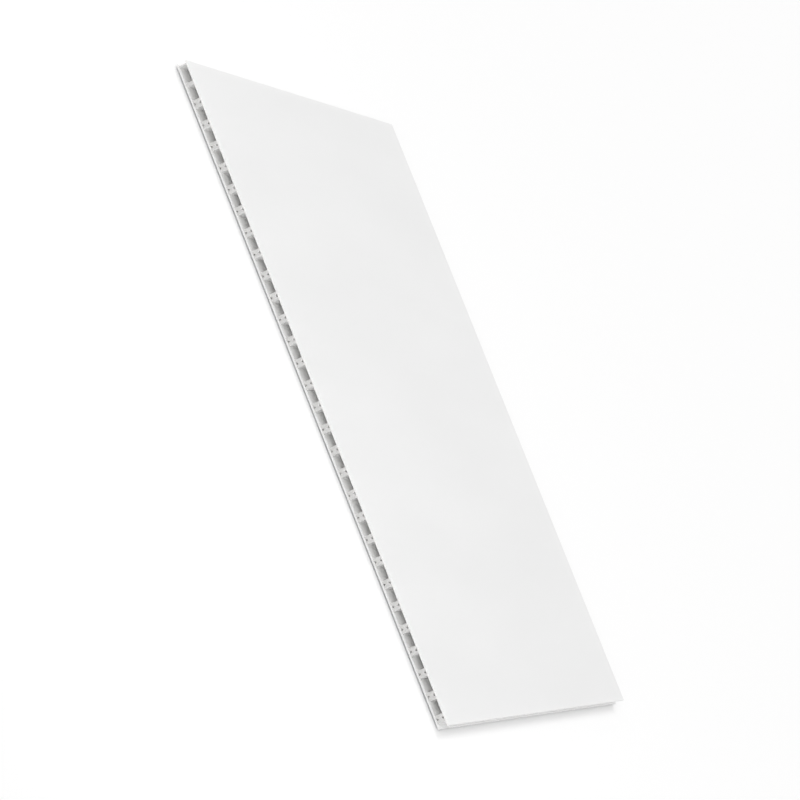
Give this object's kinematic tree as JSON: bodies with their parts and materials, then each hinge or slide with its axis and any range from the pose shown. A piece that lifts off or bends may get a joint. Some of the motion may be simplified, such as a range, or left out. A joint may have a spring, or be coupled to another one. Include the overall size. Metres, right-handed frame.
{
  "type": "hollow plastic wall panel",
  "caption": "Flat white hollow plastic wall panel: two smooth skins joined by X-braced ribs, with a shallow groove along one edge and a channel along the other.",
  "frame": {"origin": "centre of the panel's outline, on its back face", "axes": "+X across the ribs towards the channelled edge, +Y along the extrusion, +Z out of the front face"},
  "size_m": [0.6, 0.516, 0.01],
  "materials": {
    "white_plastic": "smooth satin white, with fine extrusion lines and sawn ends"
  },
  "bodies": {
    "root": {"wall_panel": "white_plastic"}
  },
  "joints": []
}
